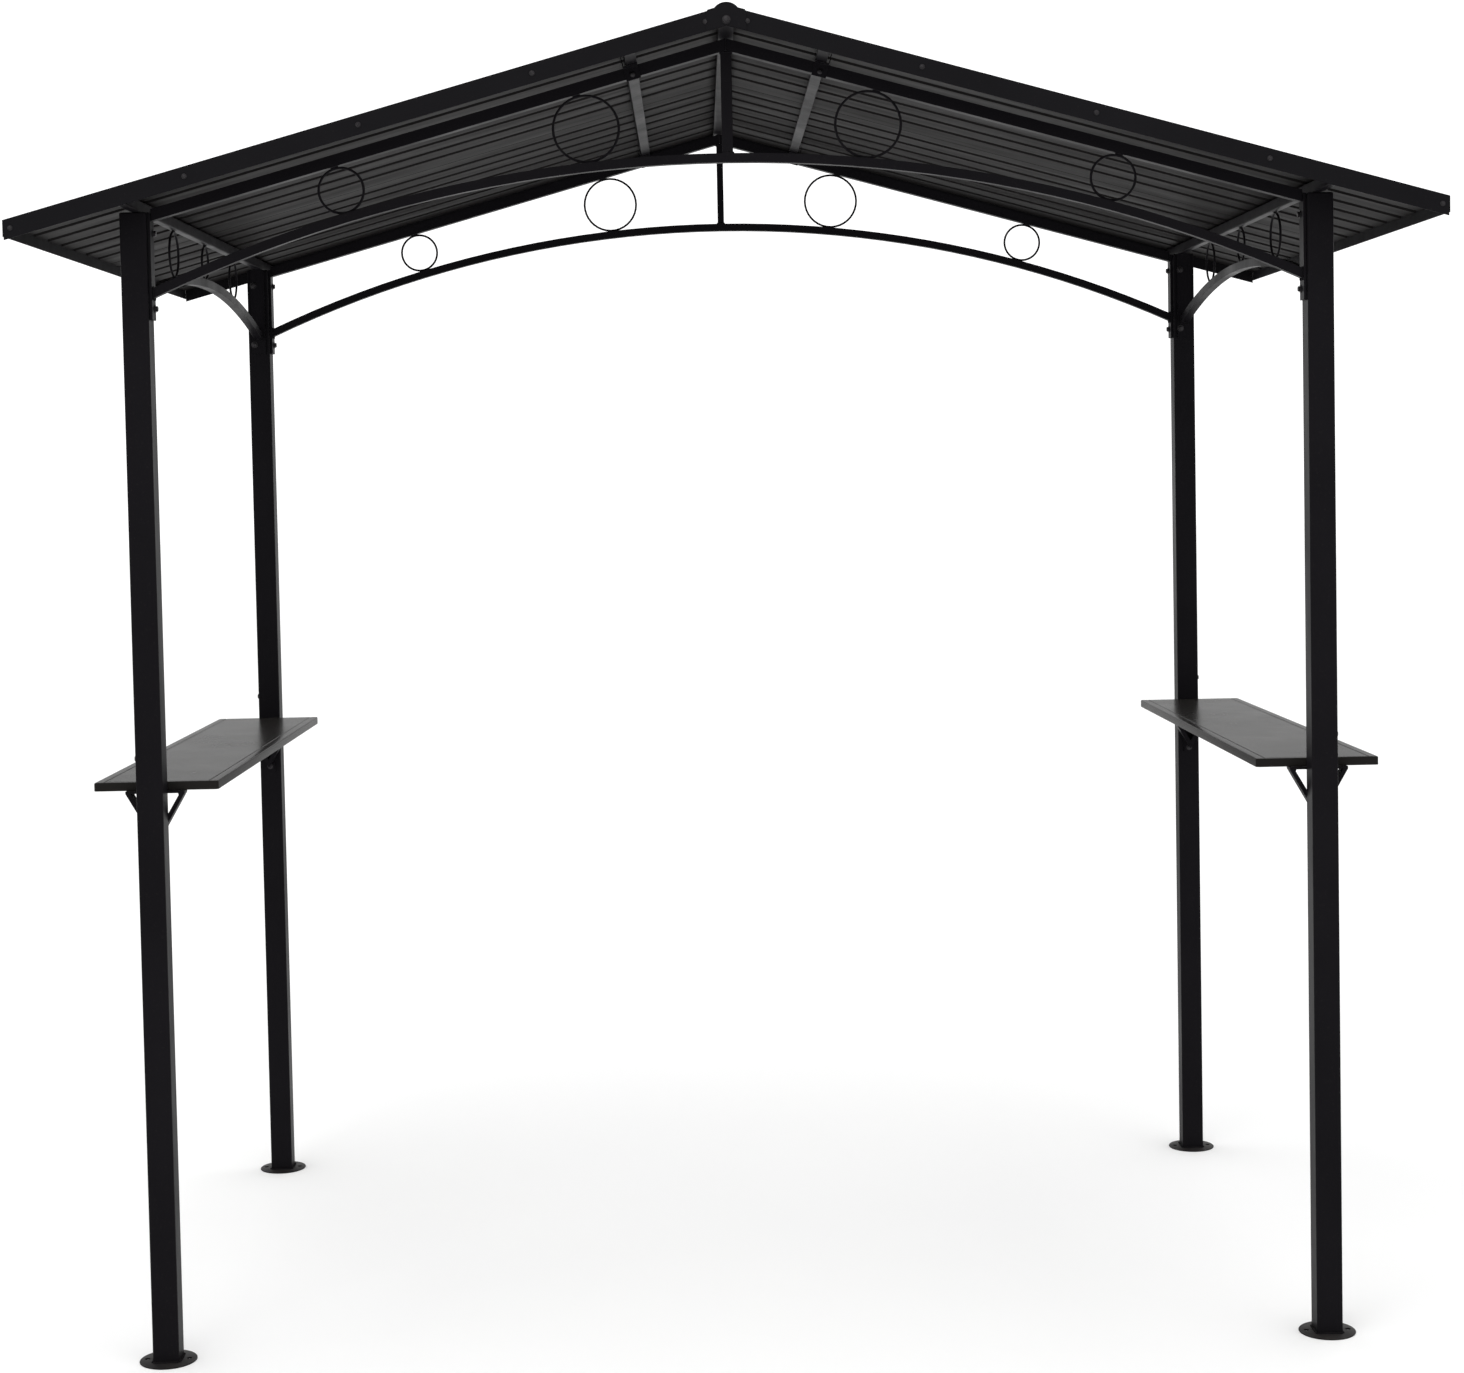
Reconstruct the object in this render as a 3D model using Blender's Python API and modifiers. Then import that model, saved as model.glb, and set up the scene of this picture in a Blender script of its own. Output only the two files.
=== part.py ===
"""Grill gazebo: four square posts on round feet, two arched gable trusses, two arched
side frames, a ribbed steel roof with its trims, and a shelf on brackets at each side.

Metres, +Z up. The origin is on the ground in the middle of the four posts, +X runs
along the wide side, and the open front faces -Y. Run it with
blender --background --python part.py, or from Blender's text editor.
"""

import math

import bmesh
import bpy
from mathutils import Vector

# Roof and posts
ROOF_WIDTH = 2.44
ROOF_DEPTH = 1.53
ROOF_PITCH = 0.277  # rise over run
POST_SPACING_X = 2.056
POST_SPACING_Y = 1.250
POST_SIZE = 0.046
POST_TOP = 2.015
POST_CORNER = 0.003

FOOT_RADIUS = 0.050
FOOT_THICKNESS = 0.003
FOOT_HOLE_RADIUS = 0.0045
FOOT_HOLE_CIRCLE = 0.037
FOOT_HOLE_COUNT = 2

# Roof frame
TUBE_CORNER = 0.0015
RAFTER_HEIGHT = 0.020
RAFTER_WIDTH = 0.020
PURLIN_HEIGHT = 0.022
PURLIN_WIDTH = 0.020
PURLIN_X = 0.166
RIDGE_BEAM_WIDTH = 0.026
SIDE_BEAM_WIDTH = 0.016
SIDE_BEAM_HEIGHT = 0.020
SIDE_BEAM_INSET = 0.004  # inwards from the posts' middle line

# Arches, king posts and rings
ARCH_BAR = 0.016
TRUSS_ARCH_RISE = 0.217
TRUSS_ARCH_DROP = 0.139  # from the post top to the middle of the bar's end
SIDE_ARCH_RISE = 0.071
SIDE_ARCH_DROP = 0.147
END_PLATE_THICKNESS = 0.005
END_PLATE_WIDTH = 0.030
END_PLATE_LENGTH = 0.185
KING_WIDTH = {"front": 0.019, "rear": 0.014}
KING_DEPTH = 0.014
RING_WIRE = 0.0045
TRUSS_RING_X = (0.245, 0.671)
SIDE_RING_Y = 0.302

# Roof sheets and trims
SHEET_THICKNESS = 0.0015
RIB_SPACES = 16
RIB_BASE = 0.026
RIB_CROWN = 0.012
RIB_HEIGHT = 0.006
LAP_START = -0.014  # the rear sheet lies on the front one from here
LAP_END = 0.018
LAP_RAMP = 0.004
RIDGE_OPENING = 0.003
TRIM_THICKNESS = 0.0015
TRIM_FLANGE = 0.026
FASCIA_HEIGHT = 0.034
EAVE_TRIM_HEIGHT = 0.028
CAP_HALF_WIDTH = 0.032
CAP_ROLL_HALF_WIDTH = 0.020
CAP_ROLL_RISE = 0.004  # of the round top above the line of the roof

# Shelves and brackets
SHELF_TOP = 1.022
SHELF_WIDTH = 0.219
SHELF_HEIGHT = 0.015
SHELF_SHEET = 0.0015
SHELF_TO_POST = 0.010
BRACKET_REACH = 0.052
BRACKET_DROP = 0.088
BRACKET_WIDTH = 0.024
BRACKET_STRAP = 0.004
BRACKET_PLATE_WIDTH = 0.022
BRACKET_TAIL = 0.009  # of the plate below the V

GAP = 0.0003  # between pieces that touch
WELD = 0.0008  # how far a welded piece reaches into its neighbour
ARC_STEPS = 40
RING_STEPS = 36
WIRE_STEPS = 8
ROLL_STEPS = 12
DISC_STEPS = 48
HOLE_STEPS = 16

SIDES = {"left": -1, "right": 1}
ENDS = {"front": -1, "rear": 1}

# Each look is a colour, a roughness and a metallic value
FRAME_LOOK = ((0.018, 0.016, 0.018, 1.0), 0.45, 0.2)
TRIM_LOOK = ((0.018, 0.016, 0.018, 1.0), 0.4, 0.2)
SHEET_LOOK = ((0.075, 0.068, 0.066, 1.0), 0.5, 0.1)
SHELF_LOOK = ((0.060, 0.056, 0.054, 1.0), 0.5, 0.1)

# Places that follow from the sizes above
POST_X = POST_SPACING_X / 2
POST_Y = POST_SPACING_Y / 2
EAVE_X = ROOF_WIDTH / 2
GABLE_Y = ROOF_DEPTH / 2
SLOPE_LENGTH = math.hypot(1, ROOF_PITCH)  # of roof for each metre of run
SIDE_BEAM_X = POST_X - SIDE_BEAM_INSET
INNER_X = POST_X - POST_SIZE / 2 - GAP  # the inner faces of the posts
INNER_Y = POST_Y - POST_SIZE / 2 - GAP
PLATE_X = INNER_X - END_PLATE_THICKNESS
PLATE_Y = INNER_Y - END_PLATE_THICKNESS
INSIDE_GABLE = GABLE_Y - TRIM_THICKNESS - GAP

# Heights on the middle line of the roof, from the sheets down and up
SIDE_BEAM_TOP = POST_TOP + GAP + SIDE_BEAM_HEIGHT
SHEET_UNDERSIDE = SIDE_BEAM_TOP + GAP + ROOF_PITCH * (SIDE_BEAM_X + SIDE_BEAM_WIDTH / 2)
PURLIN_UNDERSIDE = SHEET_UNDERSIDE - GAP - PURLIN_HEIGHT * SLOPE_LENGTH
RAFTER_TOP = PURLIN_UNDERSIDE - GAP
RAFTER_UNDERSIDE = RAFTER_TOP - RAFTER_HEIGHT * SLOPE_LENGTH
RIB_TOP = SHEET_UNDERSIDE + RIB_HEIGHT + SHEET_THICKNESS * SLOPE_LENGTH
TRIM_TOP = RIB_TOP + GAP + TRIM_THICKNESS * SLOPE_LENGTH
CAP_UNDERSIDE = TRIM_TOP + GAP


def on_slope(x, height_at_ridge):
    """The height at x of a plane parallel to the roof."""
    return height_at_ridge - ROOF_PITCH * abs(x)


# Blender helpers


def clear_scene():
    for obj in list(bpy.data.objects):
        bpy.data.objects.remove(obj, do_unlink=True)


def new_collection(name):
    collection = bpy.data.collections.new(name)
    bpy.context.scene.collection.children.link(collection)
    return collection


def new_material(name, colour, roughness, metallic):
    material = bpy.data.materials.new(name)
    material.use_nodes = True
    shader = material.node_tree.nodes["Principled BSDF"]
    shader.inputs["Base Color"].default_value = colour
    shader.inputs["Roughness"].default_value = roughness
    shader.inputs["Metallic"].default_value = metallic
    material.diffuse_color = colour
    return material


def place(obj, name, look):
    """Names the object, gives it a material of its own and puts it with the parts."""
    colour, roughness, metallic = look
    obj.name = name
    obj.data.name = name
    obj.data.materials.clear()
    obj.data.materials.append(new_material(name, colour, roughness, metallic))
    for collection in list(obj.users_collection):
        collection.objects.unlink(obj)
    parts.objects.link(obj)
    return obj


def set_aside(obj, name):
    """Keeps a helper of a Boolean out of the render."""
    obj.name = name
    obj.hide_render = True
    obj.display_type = "WIRE"
    for collection in list(obj.users_collection):
        collection.objects.unlink(obj)
    helpers.objects.link(obj)
    return obj


def prism(outline, along):
    """The flat outline, a list of points, drawn out along a vector."""
    mesh = bpy.data.meshes.new("prism")
    shape = bmesh.new()
    face = shape.faces.new([shape.verts.new(point) for point in outline])
    drawn = bmesh.ops.extrude_face_region(shape, geom=[face])["geom"]
    moved = [item for item in drawn if isinstance(item, bmesh.types.BMVert)]
    bmesh.ops.translate(shape, verts=moved, vec=Vector(along))
    bmesh.ops.recalc_face_normals(shape, faces=shape.faces)
    shape.to_mesh(mesh)
    shape.free()
    obj = bpy.data.objects.new("prism", mesh)
    bpy.context.scene.collection.objects.link(obj)
    return obj


def box(low, high):
    """A box between two corners, with its origin in its middle and its scale applied."""
    size = Vector(high) - Vector(low)
    mesh = bpy.data.meshes.new("box")
    shape = bmesh.new()
    bmesh.ops.create_cube(shape, size=1)
    bmesh.ops.scale(shape, verts=shape.verts, vec=size)
    shape.to_mesh(mesh)
    shape.free()
    obj = bpy.data.objects.new("box", mesh)
    obj.location = Vector(low) + size / 2
    bpy.context.scene.collection.objects.link(obj)
    return obj


def cylinder(radius, bottom, top, x, y, steps):
    bpy.ops.mesh.primitive_cylinder_add(
        vertices=steps, radius=radius, depth=top - bottom, location=(x, y, (bottom + top) / 2)
    )
    return bpy.context.active_object


def round_edges(obj, radius, segments=2):
    bevel = obj.modifiers.new("rounded edges", "BEVEL")
    bevel.width = radius
    bevel.segments = segments
    bevel.limit_method = "ANGLE"
    return obj


def shade_round(obj):
    obj.data.shade_smooth()
    obj.data.set_sharp_from_angle(angle=math.radians(35))
    return obj


def combine(obj, other, operation):
    boolean = obj.modifiers.new(other.name, "BOOLEAN")
    boolean.operation = operation
    boolean.object = other
    boolean.solver = "EXACT"


# Posts and feet


def foot(name, x, y):
    disc = cylinder(FOOT_RADIUS, 0, FOOT_THICKNESS, x, y, DISC_STEPS)
    for number in range(FOOT_HOLE_COUNT):
        turn = math.tau * number / FOOT_HOLE_COUNT
        hole = cylinder(
            FOOT_HOLE_RADIUS,
            -FOOT_THICKNESS,
            2 * FOOT_THICKNESS,
            x + FOOT_HOLE_CIRCLE * math.cos(turn),
            y + FOOT_HOLE_CIRCLE * math.sin(turn),
            HOLE_STEPS,
        )
        combine(disc, set_aside(hole, f"{name}_hole_{number + 1}"), "DIFFERENCE")
    place(shade_round(disc), name, FRAME_LOOK)


def post(name, x, y):
    half = POST_SIZE / 2
    body = box((x - half, y - half, FOOT_THICKNESS + GAP), (x + half, y + half, POST_TOP))
    place(round_edges(body, POST_CORNER), name, FRAME_LOOK)


# Roof frame


def rafter(name, side, end_y):
    ridge_x, wall_x = GAP / 2, PLATE_X - GAP
    outline = [
        (side * x, end_y - RAFTER_WIDTH / 2, on_slope(x, height))
        for x, height in (
            (ridge_x, RAFTER_UNDERSIDE),
            (wall_x, RAFTER_UNDERSIDE),
            (wall_x, RAFTER_TOP),
            (ridge_x, RAFTER_TOP),
        )
    ]
    place(prism(outline, (0, RAFTER_WIDTH, 0)), name, FRAME_LOOK)


def purlin(name, side):
    tube = box(
        (-PURLIN_WIDTH / 2, -INSIDE_GABLE, -PURLIN_HEIGHT / 2),
        (PURLIN_WIDTH / 2, INSIDE_GABLE, PURLIN_HEIGHT / 2),
    )
    middle = PURLIN_UNDERSIDE + PURLIN_HEIGHT * SLOPE_LENGTH / 2
    tube.location = (side * PURLIN_X, 0, on_slope(PURLIN_X, middle))
    tube.rotation_euler = (0, side * math.atan(ROOF_PITCH), 0)
    place(round_edges(tube, TUBE_CORNER), name, FRAME_LOOK)


def ridge_beam(name):
    half = RIDGE_BEAM_WIDTH / 2
    tube = box(
        (-half, -INSIDE_GABLE, RAFTER_TOP + GAP),
        (half, INSIDE_GABLE, on_slope(half, SHEET_UNDERSIDE) - GAP),
    )
    place(round_edges(tube, TUBE_CORNER), name, FRAME_LOOK)


def side_beam(name, side):
    half = SIDE_BEAM_WIDTH / 2
    tube = box(
        (side * SIDE_BEAM_X - half, -INSIDE_GABLE, POST_TOP + GAP),
        (side * SIDE_BEAM_X + half, INSIDE_GABLE, SIDE_BEAM_TOP),
    )
    place(round_edges(tube, TUBE_CORNER), name, FRAME_LOOK)


# Arches with their rings


class Arch:
    """A flat bar bent to an arc, in the plane of u (along the span) and z."""

    def __init__(self, half_span, rise, end_height):
        self.half_span = half_span
        self.radius = (half_span**2 + rise**2) / (2 * rise)
        self.centre = end_height + rise - self.radius
        self.outer = self.radius + ARCH_BAR / 2
        self.inner = self.radius - ARCH_BAR / 2

    def arc(self, radius):
        """Points from one end to the other, each end on the upright plane of the plate."""
        reach = math.asin(self.half_span / radius)
        turns = [reach * (2 * step / ARC_STEPS - 1) for step in range(ARC_STEPS + 1)]
        return [
            (radius * math.sin(turn), self.centre + radius * math.cos(turn)) for turn in turns
        ]

    def outline(self):
        return self.arc(self.outer) + self.arc(self.inner)[::-1]

    def ring(self, u, ceiling, cosine):
        """The height and radius of a ring at u that sits on the bar and meets the ceiling.

        The ceiling is a straight line whose height at u is given, and whose slope has
        the given cosine. The ring is welded to the bar and just clears the ceiling.
        """
        reach = self.outer + (ceiling - self.centre) * cosine - GAP - WELD
        spare = reach**2 - u**2
        root = math.sqrt((reach * cosine) ** 2 + (1 - cosine**2) * spare)
        height = self.centre + spare / (reach * cosine + root)
        return height, (ceiling - height) * cosine - GAP


def ring_object(radius, location, turn):
    bpy.ops.mesh.primitive_torus_add(
        major_radius=radius - RING_WIRE / 2,
        minor_radius=RING_WIRE / 2,
        major_segments=RING_STEPS,
        minor_segments=WIRE_STEPS,
        location=location,
        rotation=turn,
    )
    return bpy.context.active_object


def truss_arch(name, end_y):
    """The bent bar across the wide side, with its four rings and its two end plates."""
    arch = Arch(PLATE_X + WELD, TRUSS_ARCH_RISE, POST_TOP - TRUSS_ARCH_DROP)
    outline = [(u, end_y - ARCH_BAR / 2, z) for u, z in arch.outline()]
    bar = prism(outline, (0, ARCH_BAR, 0))
    for side_name, side in SIDES.items():
        for number, x in enumerate(TRUSS_RING_X, 1):
            ceiling = on_slope(x, RAFTER_UNDERSIDE)
            height, radius = arch.ring(x, ceiling, 1 / SLOPE_LENGTH)
            ring = ring_object(radius, (side * x, end_y, height), (math.pi / 2, 0, 0))
            combine(bar, set_aside(ring, f"{name}_{side_name}_ring_{number}"), "UNION")
        half = END_PLATE_WIDTH / 2
        across = sorted((side * PLATE_X, side * INNER_X))
        plate = box(
            (across[0], end_y - half, POST_TOP - END_PLATE_LENGTH),
            (across[1], end_y + half, POST_TOP),
        )
        combine(bar, set_aside(plate, f"{name}_{side_name}_plate"), "UNION")
    place(shade_round(bar), name, FRAME_LOOK)
    return arch


def king_post(name, end_name, end_y, arch):
    half = KING_WIDTH[end_name] / 2
    foot_z = arch.centre + arch.outer + GAP
    outline = [
        (-half, foot_z),
        (half, foot_z),
        (half, on_slope(half, RAFTER_UNDERSIDE) - GAP),
        (0, RAFTER_UNDERSIDE - GAP),
        (-half, on_slope(half, RAFTER_UNDERSIDE) - GAP),
    ]
    points = [(x, end_y - KING_DEPTH / 2, z) for x, z in outline]
    place(prism(points, (0, KING_DEPTH, 0)), name, FRAME_LOOK)


def side_arch(name, side):
    """The bent bar between the two posts of a side, with three rings and two end plates."""
    arch = Arch(PLATE_Y + WELD, SIDE_ARCH_RISE, POST_TOP - SIDE_ARCH_DROP)
    outline = [(side * POST_X - ARCH_BAR / 2, u, z) for u, z in arch.outline()]
    bar = prism(outline, (ARCH_BAR, 0, 0))
    for number, y in enumerate((-SIDE_RING_Y, 0, SIDE_RING_Y), 1):
        height, radius = arch.ring(y, POST_TOP + GAP, 1)
        ring = ring_object(radius, (side * POST_X, y, height), (0, math.pi / 2, 0))
        combine(bar, set_aside(ring, f"{name}_ring_{number}"), "UNION")
    for end_name, end in ENDS.items():
        half = END_PLATE_WIDTH / 2
        across = sorted((end * PLATE_Y, end * INNER_Y))
        plate = box(
            (side * POST_X - half, across[0], POST_TOP - END_PLATE_LENGTH),
            (side * POST_X + half, across[1], POST_TOP),
        )
        combine(bar, set_aside(plate, f"{name}_{end_name}_plate"), "UNION")
    place(shade_round(bar), name, FRAME_LOOK)


# Roof sheets and trims


def ribs(start, end, height):
    """The points of the ribs that fit between start and end along Y, at the ridge."""
    pitch = ROOF_DEPTH / RIB_SPACES
    points = []
    for number in range(1, RIB_SPACES):
        middle = number * pitch - GABLE_Y
        if start < middle - RIB_BASE / 2 and middle + RIB_BASE / 2 < end:
            points += [
                (middle - RIB_BASE / 2, height),
                (middle - RIB_CROWN / 2, height + RIB_HEIGHT),
                (middle + RIB_CROWN / 2, height + RIB_HEIGHT),
                (middle + RIB_BASE / 2, height),
            ]
    return points


def front_line(height):
    """The front sheet from the gable to the lap, at the ridge."""
    start = (-INSIDE_GABLE, height)
    return [start] + ribs(-INSIDE_GABLE, LAP_START, height) + [(LAP_END, height)]


def rear_line(height):
    """The rear sheet: raised where it lies on the front one, then level with it."""
    raised = height + SHEET_THICKNESS * SLOPE_LENGTH + GAP
    ramp_end = LAP_END + GAP + LAP_RAMP
    start = [(LAP_START, raised), (LAP_END + GAP, raised), (ramp_end, height)]
    return start + ribs(ramp_end, INSIDE_GABLE, height) + [(INSIDE_GABLE, height)]


def roof_panel(name, side, sheet_line):
    lower = sheet_line(SHEET_UNDERSIDE)
    upper = sheet_line(SHEET_UNDERSIDE + SHEET_THICKNESS * SLOPE_LENGTH)
    outline = [
        (side * RIDGE_OPENING, y, on_slope(RIDGE_OPENING, z)) for y, z in lower + upper[::-1]
    ]
    run = EAVE_X - TRIM_THICKNESS - GAP - RIDGE_OPENING
    place(prism(outline, (side * run, 0, -ROOF_PITCH * run)), name, SHEET_LOOK)


def gable_fascia(name, side, end):
    """An angle along a sloping roof edge: an upright face and a top flange."""
    wall = TRIM_THICKNESS
    section = [
        (0, -FASCIA_HEIGHT),
        (wall, -FASCIA_HEIGHT),
        (wall, -wall * SLOPE_LENGTH),
        (TRIM_FLANGE, -wall * SLOPE_LENGTH),
        (TRIM_FLANGE, 0),
        (0, 0),
    ]
    start = GAP / 2
    outline = [
        (side * start, end * (GABLE_Y - inward), on_slope(start, TRIM_TOP + up))
        for inward, up in section
    ]
    run = EAVE_X - TRIM_THICKNESS - GAP - start
    place(prism(outline, (side * run, 0, -ROOF_PITCH * run)), name, TRIM_LOOK)


def eave_trim(name, side):
    """The same angle along a low roof edge, its flange cut back at the corners."""
    wall, up = TRIM_THICKNESS, TRIM_THICKNESS * SLOPE_LENGTH
    section = [
        (0, -EAVE_TRIM_HEIGHT),
        (wall, -EAVE_TRIM_HEIGHT),
        (wall, -up),
        (TRIM_FLANGE, -up),
        (TRIM_FLANGE, 0),
        (0, 0),
    ]
    outline = [
        (side * (EAVE_X - inward), -GABLE_Y, on_slope(EAVE_X - inward, TRIM_TOP + rise))
        for inward, rise in section
    ]
    trim = prism(outline, (0, ROOF_DEPTH, 0))
    top = on_slope(EAVE_X - TRIM_FLANGE, TRIM_TOP)
    for end_name, end in ENDS.items():
        across = sorted((side * (EAVE_X - 2 * TRIM_FLANGE), side * (EAVE_X - wall)))
        along = sorted((end * (GABLE_Y - TRIM_FLANGE - GAP), end * (GABLE_Y + TRIM_FLANGE)))
        corner = box(
            (across[0], along[0], top - 2 * EAVE_TRIM_HEIGHT),
            (across[1], along[1], top + EAVE_TRIM_HEIGHT),
        )
        combine(trim, set_aside(corner, f"{name}_{end_name}_corner"), "DIFFERENCE")
    place(trim, name, TRIM_LOOK)


def cap_line(rise):
    """The ridge cap's line across the roof: two flat wings and a round top between them."""
    half = CAP_ROLL_HALF_WIDTH
    sagitta = ROOF_PITCH * half + CAP_ROLL_RISE
    radius = (half**2 + sagitta**2) / (2 * sagitta)
    centre = CAP_UNDERSIDE + rise + CAP_ROLL_RISE - radius
    reach = math.asin(half / radius)
    turns = [reach * (2 * step / ROLL_STEPS - 1) for step in range(ROLL_STEPS + 1)]
    roll = [(radius * math.sin(turn), centre + radius * math.cos(turn)) for turn in turns]
    edge = on_slope(CAP_HALF_WIDTH, CAP_UNDERSIDE + rise)
    return [(-CAP_HALF_WIDTH, edge)] + roll + [(CAP_HALF_WIDTH, edge)]


def ridge_cap(name):
    outline = cap_line(0) + cap_line(TRIM_THICKNESS * SLOPE_LENGTH)[::-1]
    cap = prism([(x, -GABLE_Y, z) for x, z in outline], (0, ROOF_DEPTH, 0))
    place(shade_round(cap), name, TRIM_LOOK)


# Shelves


def shelf(name, side):
    """A sheet tray with its four edges folded down, open underneath."""
    reach = POST_Y - POST_SIZE / 2 - SHELF_TO_POST
    half = SHELF_WIDTH / 2
    tray = box(
        (side * POST_X - half, -reach, SHELF_TOP - SHELF_HEIGHT),
        (side * POST_X + half, reach, SHELF_TOP),
    )
    round_edges(tray, SHELF_SHEET, 1)
    wall = SHELF_SHEET
    hollow = box(
        (side * POST_X - half + wall, wall - reach, SHELF_TOP - 2 * SHELF_HEIGHT),
        (side * POST_X + half - wall, reach - wall, SHELF_TOP - wall),
    )
    combine(tray, set_aside(hollow, f"{name}_hollow"), "DIFFERENCE")
    place(tray, name, SHELF_LOOK)


def shelf_bracket(name, side, end):
    """A strap bent to a flat-topped V on an upright plate, on the post's inward face."""
    middle = side * POST_X
    face = end * INNER_Y
    inward = -end * BRACKET_WIDTH
    top = SHELF_TOP - SHELF_HEIGHT - GAP
    under = top - BRACKET_STRAP
    steepness = BRACKET_DROP / BRACKET_REACH
    point = top - BRACKET_DROP - BRACKET_STRAP * steepness

    outer = [(-BRACKET_REACH, top), (-BRACKET_REACH, under), (0, point)]
    outer += [(BRACKET_REACH, under), (BRACKET_REACH, top)]
    strap = prism([(middle + x, face, z) for x, z in outer], (0, inward, 0))

    half_opening = BRACKET_REACH * (1 - 2 * BRACKET_STRAP / BRACKET_DROP) - BRACKET_STRAP
    opening = [(-half_opening, under), (0, under - half_opening * steepness)]
    opening.append((half_opening, under))
    triangle = prism([(middle + x, face - inward, z) for x, z in opening], (0, 3 * inward, 0))
    combine(strap, set_aside(triangle, f"{name}_triangle"), "DIFFERENCE")

    half_plate = BRACKET_PLATE_WIDTH / 2
    along = sorted((face, face - end * BRACKET_STRAP))
    plate = box(
        (middle - half_plate, along[0], point - BRACKET_TAIL),
        (middle + half_plate, along[1], top),
    )
    combine(strap, set_aside(plate, f"{name}_plate"), "UNION")
    place(strap, name, FRAME_LOOK)


clear_scene()
parts = new_collection("grill_gazebo")
helpers = new_collection("helpers")

for end_name, end in ENDS.items():
    arch = truss_arch(f"{end_name}_truss_arch", end * POST_Y)
    king_post(f"{end_name}_king_post", end_name, end * POST_Y, arch)
    for side_name, side in SIDES.items():
        corner = f"{end_name}_{side_name}"
        foot(f"{corner}_foot_plate", side * POST_X, end * POST_Y)
        post(f"{corner}_post", side * POST_X, end * POST_Y)
        rafter(f"{corner}_rafter", side, end * POST_Y)
        gable_fascia(f"{corner}_gable_fascia", side, end)
        shelf_bracket(f"{corner}_shelf_bracket", side, end)

for side_name, side in SIDES.items():
    side_arch(f"{side_name}_side_arch", side)
    side_beam(f"{side_name}_side_beam", side)
    purlin(f"{side_name}_purlin", side)
    eave_trim(f"{side_name}_eave_trim", side)
    shelf(f"{side_name}_shelf", side)
    roof_panel(f"front_{side_name}_roof_panel", side, front_line)
    roof_panel(f"rear_{side_name}_roof_panel", side, rear_line)

ridge_beam("ridge_beam")
ridge_cap("ridge_cap")
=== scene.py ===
"""The looks of the grill gazebo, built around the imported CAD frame.

The tubes, roof sheets and trims are CAD nodes with materials of their own. This script
adds the pressed foot plates, the shelves with their grooves and hems, every bolt, nut
and screw, the welds, the saddles under the purlins and the plates at the gable peaks.
Metres, +Z up, the open front faces -Y.
"""

import math
import random

import bmesh
import bpy
from mathutils import Matrix, Vector


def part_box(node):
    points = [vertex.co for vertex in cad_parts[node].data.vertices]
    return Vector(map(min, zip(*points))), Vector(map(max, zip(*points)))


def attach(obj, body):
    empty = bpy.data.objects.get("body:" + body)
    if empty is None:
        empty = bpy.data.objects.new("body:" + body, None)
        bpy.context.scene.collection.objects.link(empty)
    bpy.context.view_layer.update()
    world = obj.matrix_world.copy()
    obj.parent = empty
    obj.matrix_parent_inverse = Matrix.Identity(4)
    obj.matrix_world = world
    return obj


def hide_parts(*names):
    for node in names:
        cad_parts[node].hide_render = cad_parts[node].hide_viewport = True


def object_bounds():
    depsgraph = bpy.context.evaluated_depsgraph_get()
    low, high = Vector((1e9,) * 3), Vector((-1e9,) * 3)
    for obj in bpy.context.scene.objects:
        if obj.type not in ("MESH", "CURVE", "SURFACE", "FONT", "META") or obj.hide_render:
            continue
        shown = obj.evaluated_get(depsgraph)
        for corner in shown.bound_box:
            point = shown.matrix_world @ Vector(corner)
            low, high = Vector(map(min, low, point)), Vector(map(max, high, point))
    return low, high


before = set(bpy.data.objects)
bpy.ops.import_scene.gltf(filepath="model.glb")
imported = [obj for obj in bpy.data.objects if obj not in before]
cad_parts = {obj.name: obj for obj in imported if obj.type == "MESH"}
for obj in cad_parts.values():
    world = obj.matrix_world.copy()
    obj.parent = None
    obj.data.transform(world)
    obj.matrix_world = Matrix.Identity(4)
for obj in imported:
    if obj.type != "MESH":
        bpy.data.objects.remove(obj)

cad_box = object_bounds()

# The camera stands in front of the gazebo, a little left of its middle
CAMERA_PLACE = (-0.0644, -5.0827, 1.5462)
CAMERA_TURN = 0.0182  # to the right, in radians
CAMERA_TILT = -0.0448  # below level
CAMERA_ROLL = 0.0189
CAMERA_LENS = 62.69  # mm, on a sensor 36 mm wide
CAMERA_SHIFT = (-0.0092, -0.0678)

SIDES = {"left": -1, "right": 1}
ENDS = {"front": -1, "rear": 1}

# Sizes that the CAD and this script share
GAP = 0.0003  # between pieces that touch
ARCH_BAR = 0.016
TRUSS_ARCH_DROP = 0.139  # from the post top to the middle of the bar's end
SIDE_ARCH_DROP = 0.147
SIDE_ARCH_RISE = 0.071
TRUSS_RING_X = (0.245, 0.671)
SIDE_RING_Y = (-0.302, 0.0, 0.302)
END_PLATE_THICKNESS = 0.005
BRACKET_STRAP = 0.004
SHEET_THICKNESS = 0.0015
RIB_SPACES = 16
FOOT_HOLE_RADIUS = 0.0045
FOOT_HOLE_CIRCLE = 0.037

# Fasteners, by their width across the flats
FRAME_BOLT = 0.009
BRACKET_BOLT = 0.008
SHELF_NUT = 0.007
SHEET_SCREW = 0.0075
SMALL_SCREW = 0.0050
WASHER_THICKNESS = 0.0012
THREAD_STEP = 0.0005  # half of the thread's pitch
THREAD_DEPTH = 0.0004
PAN_HEAD = ((0.0048, 0), (0.0050, 0.0004), (0.0047, 0.0012), (0.0038, 0.0020), (0.0022, 0.0025))
RECESS_LENGTH = 0.0044
RECESS_WIDTH = 0.0009
RECESS_LEVELS = (0.0016, 0.00262)

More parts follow.
